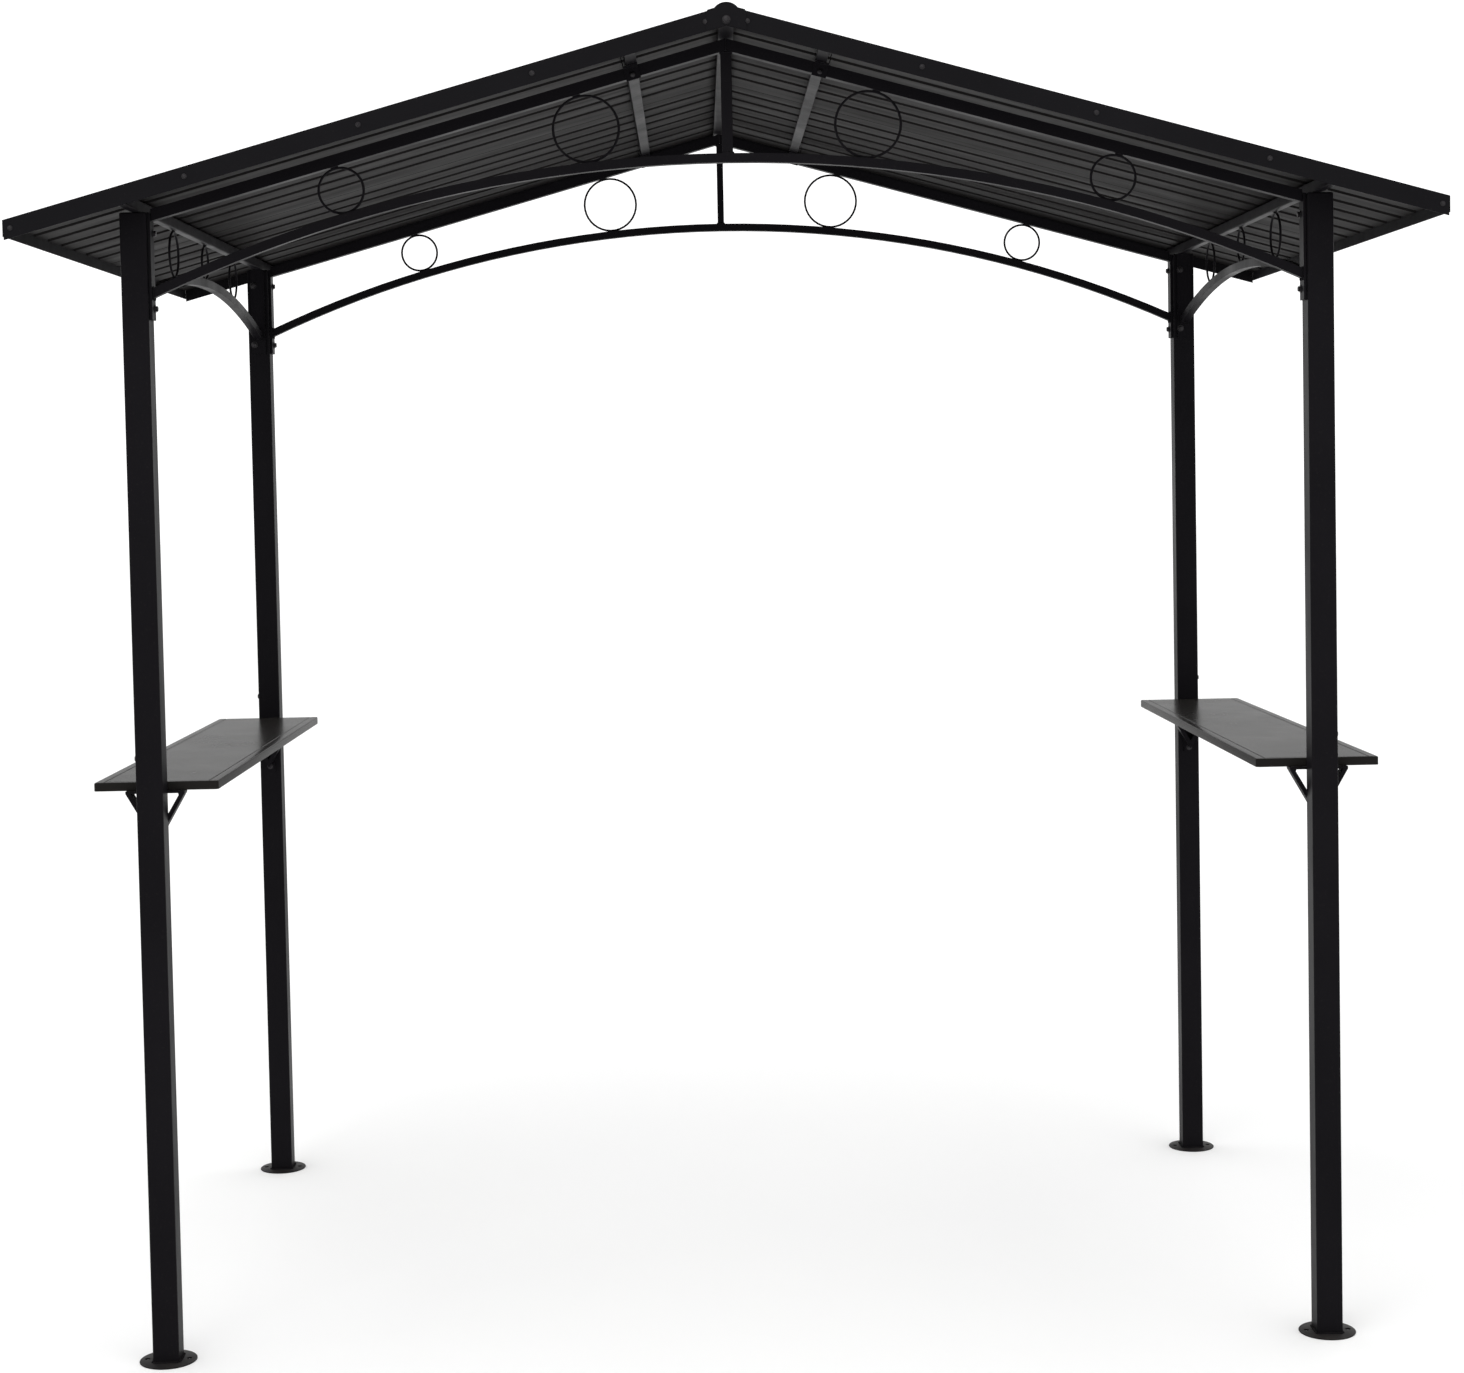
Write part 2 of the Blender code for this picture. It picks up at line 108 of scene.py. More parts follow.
# Where the fasteners sit
BOLT_DROPS = (0.035, 0.165)  # below the post top
BOLT_ASIDE = 0.009  # from the post's middle, so that the bolts of both end plates pass
POST_BOLT_HEIGHT = 1.0675
BRACKET_BOLT_INSETS = (0.010, 0.022)  # from the bracket's bottom and from its top
SHELF_NUT_INSET = 0.010
SHELF_NUT_STUD = 0.003
FASCIA_SCREW_X = (0.035, 0.328, 0.621, 0.914, 1.207)
EAVE_SCREW_Y = (-0.66, -0.33, 0.0, 0.33, 0.66)
CAP_SCREW_COUNT = 6
CAP_SCREW_INSET = 0.006

# Welds
RIPPLE_LENGTH = 0.0022
RING_WELD_REACH = 0.007  # to each side of the point where a ring touches
TRUSS_ARCH_RADIUS = 2.4  # about right, and only turns the welds along the arch
SIDE_ARCH_RADIUS = 2.6
WELD_LIFT = 0.0006  # of a bead's middle off the face it lies on

# Foot plates
FOOT_EDGE = 0.0006
FOOT_RIM_HEIGHT = 0.0021
FOOT_RIM_WIDTH = 0.0045
FOOT_STEP = 0.0017  # from the rim in to the raised middle
FOOT_HOLE_CHAMFER = 0.0008

# Shelves
SHELF_SHEET = 0.0012
SHELF_CORNER = 0.006
SHELF_EDGE = 0.0025
GROOVE_INSET = 0.017
GROOVE_WIDTH = 0.0028
GROOVE_DEPTH = 0.0009
HEM = 0.008

# Plates at the gable peaks
PEAK_HALF_WIDTH = 0.034
PEAK_ROLL_HALF_WIDTH = 0.020
PEAK_ROLL_RISE = 0.0035
PEAK_ROLL_START = 0.14 * math.pi  # the angle at which the round top leaves the slope
PEAK_THICKNESS = 0.0012
PEAK_BOLT_DROP = 0.024

# Saddles under the purlins
SADDLE_WIDTH = 0.026
SADDLE_SHEET = 0.0015
SADDLE_LEDGE = 0.022
SADDLE_HEIGHT = 0.024
SADDLE_WING = 0.016
SADDLE_SCREW_DROP = 0.015

# Colours
FRAME_PAINT = (0.0060, 0.0055, 0.0066, 1.0)
TRIM_PAINT = (0.0066, 0.0063, 0.0072, 1.0)
FOOT_PAINT = (0.0075, 0.0070, 0.0078, 1.0)
SHELF_PAINT = (0.0120, 0.0112, 0.0106, 1.0)
# Lighter thin paint for the speckles and the rubbed edges; on the edges it is also a painted edge
# highlight
THIN_PAINT_AND_EDGE_HIGHLIGHT = (0.022, 0.020, 0.0195, 1.0)
DUST = (0.17, 0.155, 0.14, 1.0)
ROOF_ABOVE = (0.0100, 0.0094, 0.0092, 1.0)
# The underside: the sheet's back coat, its colour darkened to paint the shade under the roof
ROOF_BELOW_WITH_PAINTED_SHADE = (0.0080, 0.0073, 0.0073, 1.0)
ROOF_STREAK = (0.005, 0.0045, 0.0046, 1.0)
ROOF_DUST = (0.13, 0.118, 0.105, 1.0)
BLACKENED_ZINC = (0.035, 0.033, 0.035, 1.0)
FLOOR_WHITE = (0.91, 0.91, 0.91, 1.0)
FLOOR_WARM_WHITE = (0.93, 0.93, 0.925, 1.0)

# Studio
FLOOR_HALF_SIZE = 60.0
SKY_STRENGTH = 1.25
KEY_PLACE = (-1.5, -4.2, 6.6)
KEY_TARGET = (0, 0, 1.0)
KEY_SIZE = (3.0, 2.0)
KEY_WATTS = 70

random.seed(7)


# Facts read from the frame

post_low, post_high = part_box("front_right_post")
POST_X = (post_low.x + post_high.x) / 2
POST_Y = -(post_low.y + post_high.y) / 2
POST_HALF = (post_high.x - post_low.x) / 2
POST_TOP = post_high.z
INNER_X = POST_X - POST_HALF - GAP
INNER_Y = POST_Y - POST_HALF - GAP
EAVE_X = cad_box[1][0]
GABLE_Y = cad_box[1][1]

rafter_low, rafter_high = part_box("front_right_rafter")
purlin_low, purlin_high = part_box("right_purlin")
PURLIN_X = (purlin_low.x + purlin_high.x) / 2
beam_low, beam_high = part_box("right_side_beam")
SIDE_BEAM_X = (beam_low.x + beam_high.x) / 2
fascia_low, fascia_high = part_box("front_right_gable_fascia")
panel_low, panel_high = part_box("front_right_roof_panel")


def rafter_top_at(x):
    """The highest corner of the right front rafter at x."""
    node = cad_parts["front_right_rafter"]
    corners = [node.matrix_world @ vertex.co for vertex in node.data.vertices]
    return max(corner.z for corner in corners if abs(corner.x - x) < 0.001)


RAFTER_RUN = rafter_high.x - rafter_low.x
PITCH = (rafter_top_at(rafter_low.x) - rafter_top_at(rafter_high.x)) / RAFTER_RUN
SHEET_TOP_AT_EAVE = panel_low.z + SHEET_THICKNESS * math.hypot(1, PITCH)
ROOF_UP = {side: Vector((side * PITCH, 0, 1)).normalized() for side in SIDES.values()}


def rafter_underside(x):
    return rafter_low.z + PITCH * (rafter_high.x - abs(x))


def rafter_top(x):
    return rafter_high.z + GAP - PITCH * (abs(x) - rafter_low.x)


def sheet_top(x):
    """The height of the sheets' flat top at x, between the ribs."""
    return SHEET_TOP_AT_EAVE + PITCH * (panel_high.x - abs(x))


# Mesh code


def new_object(name, data):
    obj = bpy.data.objects.new(name, data)
    bpy.context.scene.collection.objects.link(obj)
    return obj


def mesh_from(bm, name):
    bmesh.ops.recalc_face_normals(bm, faces=bm.faces)
    mesh = bpy.data.meshes.new(name)
    bm.to_mesh(mesh)
    bm.free()
    return mesh


def add_piece(mesh, name, material, smooth=40):
    """Makes the mesh a piece that rides on the frame."""
    mesh.shade_smooth()
    mesh.set_sharp_from_angle(angle=math.radians(smooth))
    mesh.materials.append(material)
    piece = new_object(name, mesh)
    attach(piece, "root")
    return piece


def piece_from(bm, name, material):
    add_piece(mesh_from(bm, name), name, material)


def cut_away(body, cutter):
    cut = body.modifiers.new(cutter.name, "BOOLEAN")
    cut.operation = "DIFFERENCE"
    cut.object = cutter


def baked(body, cutters):
    """The mesh that the body's modifiers make. The body and its cutters go."""
    bpy.context.view_layer.update()
    graph = bpy.context.evaluated_depsgraph_get()
    mesh = bpy.data.meshes.new_from_object(body.evaluated_get(graph))
    for helper in [body] + cutters:
        bpy.data.objects.remove(helper)
    return mesh


def loft(bm, rings, place=Matrix.Identity(4), closed=True):
    """Joins rings of as many points each by quads, and closes both ends."""
    rows = [[bm.verts.new(place @ Vector(point)) for point in ring] for ring in rings]
    count = len(rows[0])
    for lower, upper in zip(rows, rows[1:]):
        for i in range(count):
            j = (i + 1) % count
            bm.faces.new((lower[i], lower[j], upper[j], upper[i]))
    if closed:
        bm.faces.new(rows[0][::-1])
        bm.faces.new(rows[-1])
    return rows


def circle(radius, z, steps=20, turn=0.0):
    angles = [turn + math.tau * i / steps for i in range(steps)]
    return [(radius * math.cos(a), radius * math.sin(a), z) for a in angles]


def turned(bm, profile, place, steps=20):
    loft(bm, [circle(radius, z, steps) for radius, z in profile], place)


def facing(point, axis, turn=0.0):
    """A placement whose local Z runs along the axis from the point."""
    quaternion = Vector(axis).to_track_quat("Z", "Y")
    spin = Matrix.Rotation(turn, 4, "Z")
    return Matrix.Translation(Vector(point)) @ quaternion.to_matrix().to_4x4() @ spin


def plate(bm, outline, depth, place, edge=0.0004):
    """A flat outline in local X and Y, drawn out along local Z, its edges slightly broken."""
    middle = Vector((sum(x for x, _ in outline), sum(y for _, y in outline))) / len(outline)

    def ring(inset, z):
        points = []
        for x, y in outline:
            away = Vector((x, y)) - middle
            shorter = away * (1 - inset / max(away.length, inset * 2))
            points.append((middle.x + shorter.x, middle.y + shorter.y, z))
        return points

    loft(bm, [ring(edge, 0), ring(0, edge), ring(0, depth - edge), ring(edge, depth)], place)


def rectangle(width, height):
    return [
        (-width / 2, -height / 2),
        (width / 2, -height / 2),
        (width / 2, height / 2),
        (-width / 2, height / 2),
    ]


# Fasteners, each drawn on the local plane Z = 0 and standing along +Z


def washer(bm, place, radius, thickness=WASHER_THICKNESS):
    edge = thickness / 4
    profile = [(radius - edge, 0), (radius, edge), (radius, thickness - edge)]
    turned(bm, profile + [(radius - edge, thickness)], place, 24)


def hexagon(bm, place, across, start, height):
    """A hexagon with its corners turned off at the top, as on a bolt head or a nut."""
    corner = across / math.sqrt(3)
    chamfer = height * 0.14
    rings = [
        circle(corner, start, 6),
        circle(corner, start + height - chamfer, 6),
        circle(corner * 0.88, start + height, 6),
        circle(corner * 0.55, start + height + chamfer * 0.4, 6),
    ]
    loft(bm, rings, place)


def bolt_head(bm, point, axis, across=FRAME_BOLT):
    place = facing(point, axis, random.uniform(0, math.pi / 3))
    washer(bm, place, across * 0.80)
    hexagon(bm, place, across, WASHER_THICKNESS, across * 0.42)


def nut_and_thread(bm, point, axis, across, stud):
    """A washer, a nut and the end of the bolt with its thread."""
    place = facing(point, axis, random.uniform(0, math.pi / 3))
    washer(bm, place, across * 0.80)
    hexagon(bm, place, across, WASHER_THICKNESS, across * 0.46)
    radius = across * 0.29
    profile = [(radius, WASHER_THICKNESS + across * 0.3)]
    for step in range(2 * int(stud / 0.001)):
        z = across * 0.5 + step * THREAD_STEP
        profile.append((radius - THREAD_DEPTH * (step % 2), z))
    tip = profile[-1][1] + 0.0008
    turned(bm, profile + [(radius * 0.7, tip)], place, 14)


def roof_screw(bm, point, axis, across):
    """A self-drilling screw: a rubber-backed washer, a pressed flange and a hexagon."""
    place = facing(point, axis, random.uniform(0, math.pi / 3))
    rim, start = across * 0.92, across * 0.2
    profile = [(rim - 0.0004, 0), (rim, 0.0004), (rim - 0.0002, 0.001), (rim * 0.7, start)]
    turned(bm, profile, place, 18)
    hexagon(bm, place, across, start - 0.0002, across * 0.45)


def pan_screw(bm, point, axis):
    """A domed head with a cross recess."""
    place = facing(point, axis, random.uniform(0, math.pi / 2))
    turned(bm, PAN_HEAD, place, 18)
    for turn in (0, math.pi / 2):
        bar = [
            [(x, y, z) for x, y in rectangle(RECESS_LENGTH, RECESS_WIDTH)] for z in RECESS_LEVELS
        ]
        loft(bm, bar, place @ Matrix.Rotation(turn, 4, "Z"))


def weld(bm, points, radius):
    """A rippled bead of weld along a line of points."""
    path = [Vector(point) for point in points]
    stations = []
    for start, end in zip(path, path[1:]):
        steps = max(1, round((end - start).length / (RIPPLE_LENGTH / 3)))
        stations += [start.lerp(end, i / steps) for i in range(steps)]
    stations.append(path[-1])
    rings = []
    for i, centre in enumerate(stations):
        ahead = stations[min(i + 1, len(stations) - 1)]
        behind = stations[max(i - 1, 0)]
        place = facing(centre, (ahead - behind).normalized())
        ripple = 1 + 0.16 * math.cos(math.tau * i / 3) + random.uniform(-0.05, 0.05)
        if i in (0, len(stations) - 1):
            ripple = 0.45
        rings.append([place @ Vector(p) for p in circle(radius * ripple, 0, 8)])
    loft(bm, rings)


# Materials


class Nodes:
    """Short calls that add and join the nodes of one material."""

    def __init__(self, name):
        self.material = bpy.data.materials.new(name)
        self.material.use_nodes = True
        self.tree = self.material.node_tree
        self.shader = self.tree.nodes["Principled BSDF"]
        self.place = self.add("ShaderNodeTexCoord").outputs["Object"]

    def add(self, kind, settings=None, **inputs):
        node = self.tree.nodes.new(kind)
        for key, value in (settings or {}).items():
            setattr(node, key, value)
        for key, value in inputs.items():
            self.feed(node.inputs[key.replace("_", " ")], value)
        return node

    def feed(self, socket, value):
        if isinstance(value, bpy.types.NodeSocket):
            self.tree.links.new(value, socket)
        else:
            socket.default_value = value

    def noise(self, scale, detail=4.0, roughness=0.55, stretch=None):
        place = self.place
        if stretch:
            place = self.add("ShaderNodeMapping", Vector=place, Scale=stretch).outputs[0]
        node = self.add(
            "ShaderNodeTexNoise", Vector=place, Scale=scale, Detail=detail, Roughness=roughness
        )
        return node.outputs["Fac"]

    def ranged(self, value, from_low, from_high, to_low, to_high):
        node = self.add("ShaderNodeMapRange", Value=value)
        names = ("From Min", "From Max", "To Min", "To Max")
        for key, number in zip(names, (from_low, from_high, to_low, to_high)):
            node.inputs[key].default_value = number
        return node.outputs[0]

    def mix(self, factor, first, second):
        node = self.add("ShaderNodeMix", {"data_type": "RGBA"})
        self.feed(node.inputs[0], factor)
        self.feed(node.inputs[6], first)
        self.feed(node.inputs[7], second)
        return node.outputs[2]

    def times(self, first, second):
        node = self.add("ShaderNodeMath", {"operation": "MULTIPLY"})
        self.feed(node.inputs[0], first)
        self.feed(node.inputs[1], second)
        return node.outputs[0]

    def upward(self):
        """1 on faces that look up, 0 on all others."""
        normal = self.add("ShaderNodeNewGeometry").outputs["Normal"]
        z = self.add("ShaderNodeSeparateXYZ", Vector=normal).outputs["Z"]
        return self.ranged(z, 0.55, 0.9, 0.0, 1.0)

    def edges(self, radius):
        """1 along sharp edges, 0 elsewhere."""
        smooth = self.add("ShaderNodeBevel", {"samples": 4}, Radius=radius).outputs[0]
        sharp = self.add("ShaderNodeNewGeometry").outputs["Normal"]
        dot = self.add("ShaderNodeVectorMath", {"operation": "DOT_PRODUCT"})
        self.feed(dot.inputs[0], smooth)
        self.feed(dot.inputs[1], sharp)
        return self.ranged(dot.outputs["Value"], 0.995, 0.85, 0.0, 1.0)

    def bump(self, height, strength, distance, soft_edge=0.0):
        node = self.add("ShaderNodeBump", Height=height, Strength=strength, Distance=distance)
        if soft_edge:
            rounded = self.add("ShaderNodeBevel", {"samples": 4}, Radius=soft_edge)
            self.feed(node.inputs["Normal"], rounded.outputs[0])
        self.feed(self.shader.inputs["Normal"], node.outputs[0])

    def finish(self, colour, roughness, metallic=0.0, specular=0.5):
        self.feed(self.shader.inputs["Base Color"], colour)
        self.feed(self.shader.inputs["Roughness"], roughness)
        self.shader.inputs["Metallic"].default_value = metallic
        self.shader.inputs["Specular IOR Level"].default_value = specular
        return self.material


def powder_coat(
    name, colour, dust, gloss=0.36, specular=0.020, edge=0.0012, play=0.10, peel=0.10
):
    """Satin powder coat: orange peel, a soft mottle, edges of thin paint that also serve as a
    painted edge highlight, and some dust.
    """
    nodes = Nodes(name)
    mottle = nodes.noise(3.2, 5.0, 0.6)
    speckle = nodes.noise(260.0, 2.0)
    light = [channel * 1.45 for channel in colour[:3]] + [1.0]
    paint = nodes.mix(nodes.ranged(mottle, 0.35, 0.68, 0.0, 0.55), colour, light)
    paint = nodes.mix(nodes.ranged(speckle, 0.62, 0.75, 0.0, 0.22), paint, THIN_PAINT_AND_EDGE_HIGHLIGHT)
    # Rubbed edges: lighter thin paint in patches along the sharp edges, partly wear and partly a
    # painted edge highlight
    patches = nodes.ranged(nodes.noise(38.0, 6.0, 0.7), 0.46, 0.66, 0.0, 1.0)
    thin_edges_and_highlight = nodes.times(nodes.edges(edge), nodes.times(patches, 0.65))
    paint = nodes.mix(thin_edges_and_highlight, paint, THIN_PAINT_AND_EDGE_HIGHLIGHT)
    settled = nodes.ranged(nodes.noise(11.0, 8.0, 0.7), 0.38, 0.72, 0.15, 1.0)
    dusty = nodes.times(nodes.times(nodes.upward(), settled), dust)
    paint = nodes.mix(dusty, paint, DUST)
    smears = nodes.noise(7.0, 6.0, 0.65, stretch=(1.0, 1.0, 0.35))
    rough = nodes.ranged(smears, 0.3, 0.7, gloss - play * 0.6, gloss + play)
    skin = nodes.noise(420.0, 2.0, 0.4)
    nodes.bump(skin, peel, 0.0006, soft_edge=edge)
    return nodes.finish(paint, rough, 0.0, specular)


def sheet_paint(name, above, below):
    """Coil-coated roof sheet: dark paint above, a dull grey-brown back coat below, darker than the
    top as painted shade under the roof.
    """
    nodes = Nodes(name)
    streaks = nodes.noise(5.0, 6.0, 0.6, stretch=(0.5, 4.0, 0.5))
    blotch = nodes.noise(2.3, 4.0, 0.55)
    back_light = [channel * 1.30 for channel in below[:3]] + [1.0]
    back = nodes.mix(nodes.ranged(blotch, 0.35, 0.7, 0.0, 0.7), below, back_light)
    streaked = nodes.ranged(streaks, 0.55, 0.75, 0.0, 0.35)
    back = nodes.mix(streaked, back, ROOF_STREAK)
    settled = nodes.ranged(nodes.noise(5.0, 6.0, 0.6), 0.3, 0.75, 0.03, 0.14)
    front = nodes.mix(settled, above, ROOF_DUST)
    # Faces that look up get the top paint; all others get the underside colour with its painted
    # shade
    paint = nodes.mix(nodes.upward(), back, front)
    rough = nodes.ranged(streaks, 0.3, 0.7, 0.40, 0.56)
    nodes.bump(nodes.noise(14.0, 3.0, 0.5), 0.18, 0.0016)
    return nodes.finish(paint, rough, 0.0, 0.014)


def zinc(name, tint, rough):
    """Zinc-plated steel with a fine grain and dulled patches."""
    nodes = Nodes(name)
    dull = [channel * 0.55 for channel in tint[:3]] + [1.0]
    patches = nodes.noise(120.0, 5.0, 0.65)
    colour = nodes.mix(nodes.ranged(patches, 0.4, 0.65, 0.0, 0.8), tint, dull)
    roughness = nodes.ranged(nodes.noise(240.0, 3.0), 0.3, 0.7, rough - 0.08, rough + 0.12)
    nodes.bump(nodes.noise(900.0, 2.0), 0.12, 0.0003)
    return nodes.finish(colour, roughness, 0.95)


def plain_floor():
    nodes = Nodes("studio_floor")
    cloud = nodes.ranged(nodes.noise(0.6, 3.0), 0.3, 0.7, 0.0, 1.0)
    colour = nodes.mix(cloud, FLOOR_WHITE, FLOOR_WARM_WHITE)
    return nodes.finish(colour, 0.75, 0.0, 0.15)


frame_coat = powder_coat("frame_powder_coat", FRAME_PAINT, dust=0.10)
trim_coat = powder_coat("trim_powder_coat", TRIM_PAINT, dust=0.16, gloss=0.42)
foot_coat = powder_coat("foot_powder_coat", FOOT_PAINT, dust=0.14, gloss=0.44, specular=0.04)
shelf_coat = powder_coat(
    "shelf_powder_coat",
    SHELF_PAINT,
    dust=0.03,
    gloss=0.26,
    specular=0.009,
    edge=0.0006,
    play=0.02,
    peel=0.035,
)
roof_paint = sheet_paint("roof_sheet_paint", ROOF_ABOVE, ROOF_BELOW_WITH_PAINTED_SHADE)
dark_zinc = zinc("blackened_zinc", BLACKENED_ZINC, 0.42)


def dress_cad_nodes():
    """Gives every CAD node the material of its kind."""
    finishes = {
        "roof_panel": roof_paint,
        "gable_fascia": trim_coat,
        "eave_trim": trim_coat,
        "ridge_cap": trim_coat,
        "foot_plate": foot_coat,
        "shelf": shelf_coat,
    }
    for name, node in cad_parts.items():
        kinds = [kind for kind in finishes if name.endswith(kind)]
        material = finishes[kinds[0]] if kinds else frame_coat
        for slot in node.material_slots:
            slot.material = material


# Foot plates


def foot_plate(name, x, y):
    """A pressed round plate with a raised middle and two anchor holes."""
    low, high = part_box(name)
    radius = (high.x - low.x) / 2
    top = high.z
    profile = [
        (radius - FOOT_EDGE, 0.0),
        (radius, FOOT_EDGE),
        (radius, FOOT_RIM_HEIGHT - 0.0005),
        (radius - FOOT_EDGE, FOOT_RIM_HEIGHT),
        (radius - FOOT_RIM_WIDTH, FOOT_RIM_HEIGHT),
        (radius - FOOT_RIM_WIDTH - FOOT_STEP, top),
        (0.002, top),
    ]
    hole = [
        (FOOT_HOLE_RADIUS, -0.002),
        (FOOT_HOLE_RADIUS, top - 0.0006),
        (FOOT_HOLE_RADIUS + FOOT_HOLE_CHAMFER, top + 0.0002),
        (FOOT_HOLE_RADIUS + FOOT_HOLE_CHAMFER, top + 0.002),
    ]
    bm = bmesh.new()
    turned(bm, profile, Matrix.Identity(4), 72)
    body = new_object("plate", mesh_from(bm, "plate"))
    body.location = (x, y, 0)
    cutters = []
    for side in SIDES.values():
        bm = bmesh.new()
        turned(bm, hole, Matrix.Identity(4), 24)
        cutter = new_object("hole", mesh_from(bm, "hole"))
        cutter.location = (x + side * FOOT_HOLE_CIRCLE, y, 0)
        cut_away(body, cutter)
        cutters.append(cutter)
    mesh = baked(body, cutters)
    mesh.transform(Matrix.Translation((x, y, 0)))
    piece = add_piece(mesh, f"{name}_pressed", foot_coat, 35)
    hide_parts(name)


def foot_welds(name, x, y):
    """The bead of weld round the foot of a post."""
    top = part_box(name)[1].z
    reach = POST_HALF + 0.0006
    corners = [(-reach, -reach), (reach, -reach), (reach, reach), (-reach, reach)]
    bm = bmesh.new()
    for (x0, y0), (x1, y1) in zip(corners, corners[1:] + corners[:1]):
        start = Vector((x + x0 * 0.94, y + y0 * 0.94, top + 0.0004))
        end = Vector((x + x1 * 0.94, y + y1 * 0.94, top + 0.0004))
        outward = Vector(((x0 + x1) / 2, (y0 + y1) / 2, 0)).normalized() * reach * 0.06
        weld(bm, [start + outward, end + outward], 0.0021)
    return bm


def feet():
    for end_name, end in ENDS.items():
        for side_name, side in SIDES.items():
            name = f"{end_name}_{side_name}_foot_plate"
            foot_plate(name, side * POST_X, end * POST_Y)
            bm = foot_welds(name, side * POST_X, end * POST_Y)
            piece_from(bm, f"{end_name}_{side_name}_foot_weld", frame_coat)


# Shelves


def shelf_ring(half_x, half_y, corner, z):
    """A rounded rectangle with the same number of points whatever its size."""
    points = []
    for quarter, (sx, sy) in enumerate(((1, 1), (-1, 1), (-1, -1), (1, -1))):
        for step in range(7):
            turn = (quarter + step / 6) * math.pi / 2
            points.append(
                (
                    sx * (half_x - corner) + corner * math.cos(turn),
                    sy * (half_y - corner) + corner * math.sin(turn),
                    z,
                )
            )
    return points


def shelf_grooves(half_x, half_y, middle, top):
    """Two shallow grooves along the shelf, cut from the top."""
    bm = bmesh.new()
    half = GROOVE_WIDTH / 2
    section = [(-half, 0.001), (-half, 0), (-half / 2, -GROOVE_DEPTH)]
    section += [(half / 2, -GROOVE_DEPTH), (half, 0), (half, 0.001)]
    for side in (-1, 1):
        x = middle.x + side * (half_x - GROOVE_INSET)
        ends = [middle.y - half_y - 0.01, middle.y + half_y + 0.01]
        loft(bm, [[(x + across, y, top + up) for across, up in section] for y in ends])
    return new_object("grooves", mesh_from(bm, "grooves"))


def shelf_tray(name):
    """A folded tray: a grooved top, rounded edges, a skirt and a hem turned inwards."""
    low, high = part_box(name)
    middle = (low + high) / 2
    half_x, half_y = (high.x - low.x) / 2, (high.y - low.y) / 2
    top, bottom = high.z, low.z
    sections = [
        (HEM, bottom + SHELF_SHEET * 2),
        (HEM * 0.9, bottom + SHELF_SHEET),
        (SHELF_SHEET, bottom + SHELF_SHEET * 0.2),
        (0.0002, bottom),
        (0.0, bottom + 0.0008),
        (0.0, top - SHELF_EDGE),
    ]
    for step in range(1, 6):
        turn = step / 5 * math.pi / 2
        inset = SHELF_EDGE * (1 - math.cos(turn))
        sections.append((inset, top - SHELF_EDGE * (1 - math.sin(turn))))
    sections.append((0.030, top))
    sections.append((0.060, top))
    bm = bmesh.new()
    rings = [
        shelf_ring(half_x - inset, half_y - inset, max(SHELF_CORNER - inset, 0.0015), z)
        for inset, z in sections
    ]
    rows = loft(bm, rings, Matrix.Translation((middle.x, middle.y, 0)), closed=False)
    bm.faces.new(rows[-1])
    mesh = mesh_from(bm, name)
    if mesh.polygons[-1].normal.z < 0:
        mesh.flip_normals()
    body = new_object("tray", mesh)
    solid = body.modifiers.new("sheet", "SOLIDIFY")
    solid.thickness = SHELF_SHEET
    solid.offset = -1
    grooves = shelf_grooves(half_x, half_y, middle, top)
    cut_away(body, grooves)
    piece = add_piece(baked(body, [grooves]), f"{name}_tray", shelf_coat, 50)
    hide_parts(name)


def bracket_fasteners():
    """Bolts through each bracket's plate into the post, and up into the shelf."""
    bm = bmesh.new()
    for end_name, end in ENDS.items():
        for side_name, side in SIDES.items():
            low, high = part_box(f"{end_name}_{side_name}_shelf_bracket")
            middle = side * POST_X
            face = end * (INNER_Y - BRACKET_STRAP)
            from_bottom, from_top = BRACKET_BOLT_INSETS
            for height in (low.z + from_bottom, high.z - from_top):
                bolt_head(bm, (middle, face, height), (0, -end, 0), BRACKET_BOLT)
            reach = (high.x - low.x) / 2 - SHELF_NUT_INSET
            along = (low.y + high.y) / 2
            for across in (-reach, reach):
                point = (middle + across, along, high.z - BRACKET_STRAP)
                nut_and_thread(bm, point, (0, 0, -1), SHELF_NUT, SHELF_NUT_STUD)
    piece_from(bm, "shelf_bracket_bolts", dark_zinc)


# Frame bolts


def frame_bolts():
    """Bolt heads on the end plates of the arches, and one on the outer face of each post."""
    bm = bmesh.new()
    for end in ENDS.values():
        for side in SIDES.values():
            for drop in BOLT_DROPS:
                height = POST_TOP - drop
                plate_x = side * (INNER_X - END_PLATE_THICKNESS)
                bolt_head(bm, (plate_x, end * POST_Y + BOLT_ASIDE, height), (-side, 0, 0))
                plate_y = end * (INNER_Y - END_PLATE_THICKNESS)
                bolt_head(bm, (side * POST_X - BOLT_ASIDE, plate_y, height), (0, -end, 0))
            outer = side * (POST_X + POST_HALF)
            bolt_head(bm, (outer, end * POST_Y, POST_BOLT_HEIGHT), (side, 0, 0))
    piece_from(bm, "frame_bolts", dark_zinc)


# Screws of the roof


def fascia_screws():
    """Screws along the middle of each sloping fascia."""
    bm = bmesh.new()
    half_height = (fascia_high.z - fascia_low.z - PITCH * (fascia_high.x - fascia_low.x)) / 2
    for end in ENDS.values():
        for side in SIDES.values():
            for x in FASCIA_SCREW_X:
                height = fascia_high.z - half_height - PITCH * x
                roof_screw(bm, (side * x, end * GABLE_Y, height), (0, end, 0), SMALL_SCREW)
    piece_from(bm, "fascia_screws", dark_zinc)


